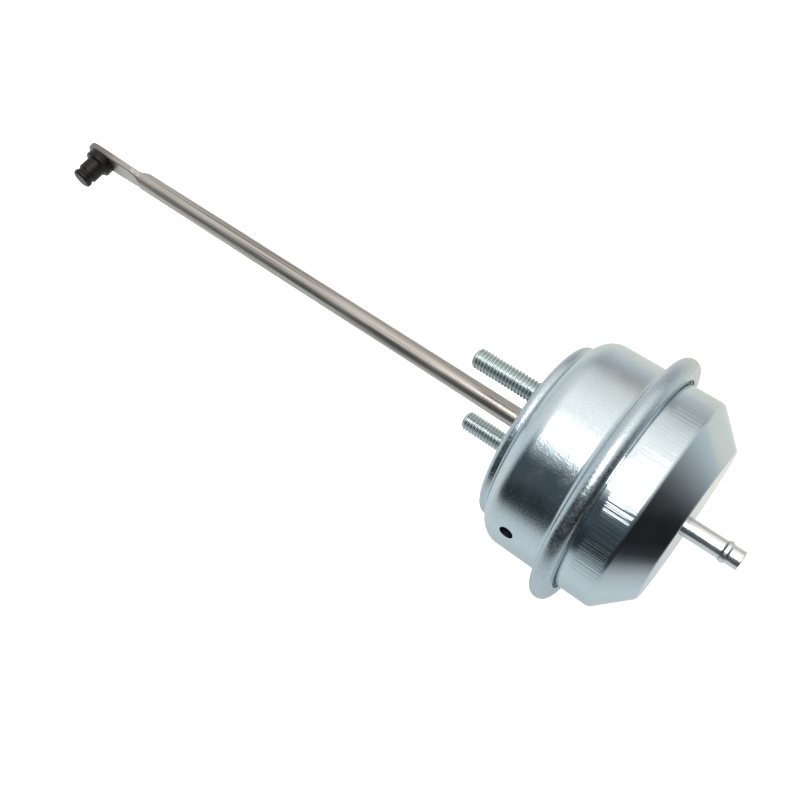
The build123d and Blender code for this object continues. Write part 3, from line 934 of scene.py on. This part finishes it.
class ACTUATOR_OT_lever_pin(bpy.types.Operator):
    """Turn the lever pin with its collar, groove and end disc"""

    bl_idname = "actuator.lever_pin"
    bl_label = "Turn the lever pin"

    def execute(self, context):
        pin = context.scene.actuator_pin
        front_y = pin.face
        back_y = front_y - pin.eye_t
        rivet_y = back_y - pin.rivet_t
        collar_y = front_y + pin.collar_t
        body_y = collar_y + pin.body
        groove_y = body_y + pin.groove_width
        end_y = groove_y + pin.head_t
        edge = 0.18 * MM
        small_chamfer = pin.chamfer * 0.6
        # The line runs from the end disc back to the rivet head, so that its faces point outwards.
        line = [
            (end_y, 0, 0),
            (end_y, pin.head_r - pin.chamfer, edge),
            (end_y - pin.chamfer, pin.head_r, edge),
            (groove_y + small_chamfer, pin.head_r, edge),
            (groove_y, pin.head_r - small_chamfer, edge),
            (groove_y, pin.groove_r, 0.1 * MM),
            (body_y, pin.groove_r, 0.1 * MM),
            (body_y, pin.radius, edge),
            (collar_y, pin.radius, edge),
            (collar_y, pin.collar_r - pin.chamfer, edge),
            (collar_y - pin.chamfer, pin.collar_r, edge),
            (front_y, pin.collar_r, edge),
            (front_y, pin.shank_r, 0),
            (back_y, pin.shank_r, 0),
            (back_y, pin.rivet_r, edge),
            (rivet_y, pin.rivet_r - pin.rivet_t, 0.3 * MM),
            (rivet_y, 0, 0),
        ]
        towards_y = Matrix.Rotation(math.radians(90), 3, "Z")
        turn = tuple((Matrix.Rotation(-pin.turn, 3, "X") @ towards_y).to_euler())
        piece = spin(
            "lever_pin_turned",
            line,
            black_oxide(),
            around=128,
            bend_steps=5,
            turn=turn,
            place=(pin.reach, 0.0, 0.0),
        )
        put_on(piece, ROD, "black_steel", "lever_pin")
        return {"FINISHED"}


class ACTUATOR_OT_spring_and_diaphragm(bpy.types.Operator):
    """Wind the return spring and spin the rolling diaphragm"""

    bl_idname = "actuator.spring_and_diaphragm"
    bl_label = "Make the spring and the diaphragm"

    def execute(self, context):
        can = context.scene.actuator_can
        inside = context.scene.actuator_inside
        colours = context.scene.actuator_finishes
        low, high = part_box("return_spring")
        values = {
            "Wire": inside.wire_r,
            "Radius": high.y - inside.wire_r,
            "Start": low.x + inside.wire_r,
            "Rise": high.x - low.x - 2 * inside.wire_r,
            "End Pitch": inside.end_pitch,
            "Open Turns": inside.open_turns,
            # Painted shade: the spring's dark wire colour also stands in for the shade inside the canister.
            "Material": inner_metal("Phosphated spring wire in painted shade", colours.spring, 0.5, 0.6),
        }
        spring = grow("return_spring_coil", bpy.data.meshes.new("spring"), coil_tree(), values)
        put_on(spring, CANISTER, "spring_steel", "return_spring")
        self.give_way(spring, high.x, low.x)

        low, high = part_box("diaphragm")
        thick = inside.membrane
        crown_x = low.x + thick
        clamp_x = -can.front_depth - can.sheet
        rim_x = clamp_x - inside.rim_t
        rim_r = can.flange_r - inside.rim_width
        folded = [
            (crown_x, inside.inner_r, inside.corner_r),
            (high.x, inside.inner_r, inside.fold_r),
            (high.x, inside.outer_r, inside.fold_r),
            (clamp_x, inside.outer_r, inside.root_r),
        ]
        # The other face lies one thickness further back, with two bends wider and two tighter.
        shifts = [(thick, thick), (thick, -thick), (-thick, -thick), (-thick, thick)]
        back = [(x - thick, r + out, bend + more) for (x, r, bend), (out, more) in zip(folded, shifts)]
        line = [
            (crown_x, inside.hole_r, 0),
            *folded,
            (clamp_x, can.flange_r, 0),
            (rim_x, can.flange_r, 0),
            (rim_x, rim_r, 0),
            (clamp_x - thick, rim_r, 0),
            *reversed(back),
            (crown_x - thick, inside.hole_r, 0),
            (crown_x, inside.hole_r, 0),
        ]
        material = rubber("Fabric-backed rubber", colours.membrane, 0.8)
        membrane = spin("diaphragm_membrane", line, material, around=192, bend_steps=8)
        put_on(membrane, CANISTER, "diaphragm_rubber", "diaphragm")
        self.give_way(membrane, clamp_x, crown_x)
        return {"FINISHED"}

    def give_way(self, piece, fixed_x, moving_x):
        """The piece gets a mesh of its own."""
        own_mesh(piece)


class ACTUATOR_OT_inner_finishes(bpy.types.Operator):
    """Give the rod and the pieces inside the canister their finishes"""

    bl_idname = "actuator.inner_finishes"
    bl_label = "Finish the rod and the inner pieces"

    def execute(self, context):
        colours = context.scene.actuator_finishes
        # Painted shade: the pressed zinc pieces inside the canister take the dark inner colour, which stands
        # in for the shade there.
        pressed = inner_metal("Zinc on pressed steel in painted shade", colours.shade, 0.4, 0.4)
        seal = rubber("Moulded rubber", colours.rubber, 0.4)
        small = inner_metal("Zinc on turned steel", colours.thread, 0.3, 0.4)
        finishes = {
            "push_rod": drawn_bar(),
            "mounting_plate": pressed,
            "guide_housing": pressed,
            "piston": pressed,
            "retainer_plate": pressed,
            "dust_seal": seal,
            "bump_stop": seal,
            "sealing_washer": seal,
            "guide_bush": inner_metal("Oil-filled sintered bronze", colours.bronze, 0.48, 0.25),
            "rod_washer": small,
            "lock_nut": small,
        }
        for node, material in finishes.items():
            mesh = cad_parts[node].data
            mesh.materials.clear()
            mesh.materials.append(material)
        return {"FINISHED"}


# Stage

# How far the floor lies under the canister. The card that the metal mirrors lies halfway.
FLOOR_GAP = 0.1 * MM
# The middle of the canister, which the cards go round, in millimetres along the rod's axis.
CARDS_X = -18
# The unlit side of the room, in degrees about the canister from +X towards +Y: where it
# darkens, where it brightens again, and where it turns from +Y to behind the canister.
DARKENS = (30, 54)
BRIGHTENS = (176, 236)
TURNS_BEHIND = (105, 150)


def rise(value, start, stop):
    """How far the value has come from the start to the stop, from 0 to 1."""
    return min(max((value - start) / (stop - start), 0), 1)


class ACTUATOR_OT_stage(bpy.types.Operator):
    """Set up the camera, the soft light and the pale floor"""

    bl_idname = "actuator.stage"
    bl_label = "Set the stage"

    def execute(self, context):
        sizes = context.scene.actuator_stage
        self.add_camera(context.scene, sizes)
        self.add_room(context.scene, sizes)
        self.add_floor(sizes)
        self.add_room_cards(sizes)
        self.add_soft_box(context.scene, sizes)
        return {"FINISHED"}

    def add_camera(self, scene, sizes):
        """The camera stands where it did for the photograph."""
        a, e = sizes.azimuth, sizes.elevation
        back = Vector((math.sin(a) * math.cos(e), -math.cos(a) * math.cos(e), math.sin(e)))
        level = Vector((math.cos(a), math.sin(a), 0))
        above = back.cross(level)
        right = level * math.cos(sizes.roll) + above * math.sin(sizes.roll)
        up = above * math.cos(sizes.roll) - level * math.sin(sizes.roll)
        data = bpy.data.cameras.new("Camera")
        data.lens = sizes.lens
        data.sensor_width = 36
        data.shift_x = sizes.shift_x
        data.shift_y = sizes.shift_y
        data.clip_start = 10 * MM
        data.clip_end = 20
        camera = show("Camera", data)
        turned = Matrix((right, up, back)).transposed().to_4x4()
        camera.matrix_world = Matrix.Translation(sizes.camera) @ turned
        scene.camera = camera
        scene.view_settings.view_transform = "Standard"

    def add_room(self, scene, sizes):
        """A white room: brightest overhead, with a soft grey strip low on the far side."""
        world = bpy.data.worlds.new("White room")
        world.use_nodes = True
        tree = world.node_tree
        tree.nodes.clear()
        direction = add_node(tree, "ShaderNodeTexCoord").outputs["Generated"]
        parts = add_node(tree, "ShaderNodeSeparateXYZ", [direction])
        # Brightness of the room by height, where 1 is straight up, as a share of the brightest.
        near_side = [(0.0, 0.54), (0.4, 0.5), (0.7, 0.66), (0.85, 0.76), (0.93, 0.88), (1.0, 1.0)]
        far_side = [(0.0, 0.56), (0.2, 0.51), (0.48, 0.31), (0.62, 0.46), (0.75, 0.72), (1.0, 1.0)]
        sides = []
        for levels in (near_side, far_side):
            ramp = add_node(tree, "ShaderNodeValToRGB", [parts.outputs["Z"]])
            marks = ramp.color_ramp.elements
            for mark, (place, level) in zip([*marks, *(marks.new(0.5) for extra in levels[2:])], levels):
                mark.position = place
                # Daylight from above is a little warmer than what the walls give back.
                mark.color = (level * (0.95 + 0.1 * place), level, level * (1.04 - 0.08 * place), 1)
            sides.append(ramp)
        # How far a direction leans to -Y, away from the camera, where the far side begins and is full.
        far_from, far_full = -0.62, -0.85
        far = add_node(tree, "ShaderNodeMapRange", (parts.outputs["Y"], far_from, far_full))
        room = add_node(tree, "ShaderNodeMix", {0: far, FIRST: sides[0], SECOND: sides[1]}, data_type="RGBA")
        light_inputs = {"Color": room.outputs[MIXED], "Strength": sizes.daylight}
        light = add_node(tree, "ShaderNodeBackground", light_inputs)
        add_node(tree, "ShaderNodeOutputWorld", {"Surface": light})
        scene.world = world

    def add_card(self, name, material, corners, faces, shades=()):
        """A card of the stage. One with shades is seen by the metal's reflections alone."""
        mesh = bpy.data.meshes.new(name)
        mesh.from_pydata(corners, [], faces)
        mesh.materials.append(material)
        card = show(name, mesh)
        if shades:
            levels = mesh.attributes.new("shade", "FLOAT_COLOR", "POINT")
            for i, shade in enumerate(shades):
                levels.data[i].color = (*shade, 1.0)
            card.visible_camera = False
            card.visible_diffuse = False
            card.visible_shadow = False
            card.visible_transmission = False

    def add_floor(self, sizes):
        """A plain pale floor under the bead."""
        low = cad_box[0].z - FLOOR_GAP
        half = sizes.floor / 2
        corners = [(-half, -half, low), (half, -half, low), (half, half, low), (-half, half, low)]
        white, tree, shader = new_finish("Matt white card", linear("#F4F4F4"), 0.0, 0.9)[:3]
        # The floor is lit through from below, as a light table is, so that it keeps no shadow.
        feed(tree, shader, {"Emission Color": linear("#FFFFFF"), "Emission Strength": sizes.floor_glow})
        self.add_card("floor", white, corners, [(0, 1, 2, 3)])

    def add_room_cards(self, sizes):
        """The floor and the unlit side of the room, as the metal's reflections see them."""
        material, tree, shader = new_finish("Shaded card", linear("#000000"), 0.0, 1.0)[:3]
        shade = add_node(tree, "ShaderNodeAttribute", attribute_name="shade")
        glow = {"Specular IOR Level": 0, "Emission Color": shade, "Emission Strength": 1.0}
        feed(tree, shader, glow)
        low = (cad_box[0].z - FLOOR_GAP / 2) / MM
        pale = sizes.floor_shade
        # Rings of the floor and rows of the wall, in millimetres: radius, height, and the
        # shade on the pale side, to +Y and to -X.
        floor_rings = [
            (0.5, low, 0.6, 0.6, 0.6),
            (24, low, 0.7, 0.68, 0.7),
            (48, low, pale, 0.9, 0.88),
            (75, low, pale, 0.84, 0.7),
            (100, low, pale, 0.68, 0.4),
            (122, low, pale, 0.3, 0.14),
            (150, low, pale, 0.06, 0.04),
            (250, low, pale, 0.04, 0.02),
            (3000, low, 0.86, 0.04, 0.02),
        ]
        wall_rows = [
            (1000, low, 0.86, 0.04, 0.02),
            (1000, 0, 0.82, 0.04, 0.02),
            (1000, 200, 0.78, 0.1, 0.06),
            (1000, 400, 0.76, 0.085, 0.2),
            (1000, 660, 0.84, 0.09, 0.4),
            (1000, 800, 0.88, 0.3, 0.6),
            (1000, 950, 0.95, 0.62, 0.8),
            (1000, 1250, 1.0, 1.15, 1.1),
        ]
        self.add_ring_card("grey_card", material, floor_rings, 0, 360, low)
        # The wall reaches a few degrees past the unlit side.
        self.add_ring_card("dark_wall", material, wall_rows, DARKENS[0] - 4, BRIGHTENS[1] + 6, low)

    def add_ring_card(self, name, material, rows, start, stop, low):
        """A card of round rows about the canister, which is dark from +Y to -X and pale elsewhere."""
        steps = 96
        corners, shades = [], []
        for i in range(steps + 1):
            degrees = start + (stop - start) * i / steps
            angle = math.radians(degrees)
            dark = rise(degrees, *DARKENS) * (1 - rise(degrees, *BRIGHTENS))
            dark = dark * dark * (3 - 2 * dark)
            behind = rise(degrees, *TURNS_BEHIND)
            for radius, height, pale, beside, rear in rows:
                x, y = radius * math.cos(angle) + CARDS_X, radius * math.sin(angle)
                corners.append((x * MM, y * MM, height * MM))
                deep = beside + (rear - beside) * behind
                level = pale + (deep - pale) * dark
                # The darkest part is bluish to +Y, and the floor to -Y is a little warmer.
                blue = (1 - behind) * max(1 - level / 0.4, 0)
                warm = max(-math.sin(angle), 0) if height == low else 0
                red = level * (0.95 - 0.25 * blue + 0.09 * warm)
                shades.append((red, level, level * (1.03 + 0.15 * blue - 0.13 * warm)))
        faces = []
        for i in range(steps):
            for j in range(len(rows) - 1):
                a = i * len(rows) + j
                faces.append((a, a + len(rows), a + len(rows) + 1, a + 1))
        self.add_card(name, material, corners, faces, shades)

    def add_soft_box(self, scene, sizes):
        """One large soft box overhead, on the camera's side."""
        aim = Vector((30 * MM, 0, 0))
        data = bpy.data.lights.new("Soft box", "AREA")
        data.shape = "SQUARE"
        data.size = sizes.lamp_size
        data.energy = sizes.lamp_power
        lamp = show("Soft box", data)
        lamp.location = sizes.lamp
        lamp.rotation_euler = (aim - lamp.location).to_track_quat("-Z", "Y").to_euler()


class ACTUATOR_PT_panel(bpy.types.Panel):
    """The actuator's pieces and their sizes"""

    bl_idname = "ACTUATOR_PT_panel"
    bl_label = "Wastegate Actuator"
    bl_space_type = "VIEW_3D"
    bl_region_type = "UI"
    bl_category = "Actuator"

    def draw(self, context):
        for group, operators in PANEL_ROWS:
            box = self.layout.box()
            for operator in operators:
                box.operator(operator.bl_idname)
            settings = getattr(context.scene, "actuator_" + group)
            for name in settings.bl_rna.properties.keys():
                if name not in ("rna_type", "name"):
                    box.prop(settings, name)


SIZE_GROUPS = {
    "can": CanSizes,
    "stud": StudSizes,
    "nipple": NippleSizes,
    "pin": PinSizes,
    "inside": InsideSizes,
    "finishes": Finishes,
    "stage": StageSizes,
}
PANEL_ROWS = [
    ("can", [ACTUATOR_OT_spun_cups]),
    ("stud", [ACTUATOR_OT_threaded_studs]),
    ("nipple", [ACTUATOR_OT_hose_nipple]),
    ("pin", [ACTUATOR_OT_lever_pin]),
    ("inside", [ACTUATOR_OT_spring_and_diaphragm]),
    ("finishes", [ACTUATOR_OT_inner_finishes]),
    ("stage", [ACTUATOR_OT_stage]),
]
CLASSES = [
    *SIZE_GROUPS.values(),
    *[operator for group, operators in PANEL_ROWS for operator in operators],
    ACTUATOR_PT_panel,
]


def register():
    for each in CLASSES:
        bpy.utils.register_class(each)
    for group, kind in SIZE_GROUPS.items():
        setattr(bpy.types.Scene, "actuator_" + group, PointerProperty(type=kind))


def unregister():
    for group in SIZE_GROUPS:
        delattr(bpy.types.Scene, "actuator_" + group)
    for each in reversed(CLASSES):
        bpy.utils.unregister_class(each)


def main():
    register()
    bpy.ops.actuator.spun_cups()
    bpy.ops.actuator.threaded_studs()
    bpy.ops.actuator.hose_nipple()
    bpy.ops.actuator.lever_pin()
    bpy.ops.actuator.spring_and_diaphragm()
    bpy.ops.actuator.inner_finishes()
    bpy.ops.actuator.stage()


if __name__ == "__main__":
    main()
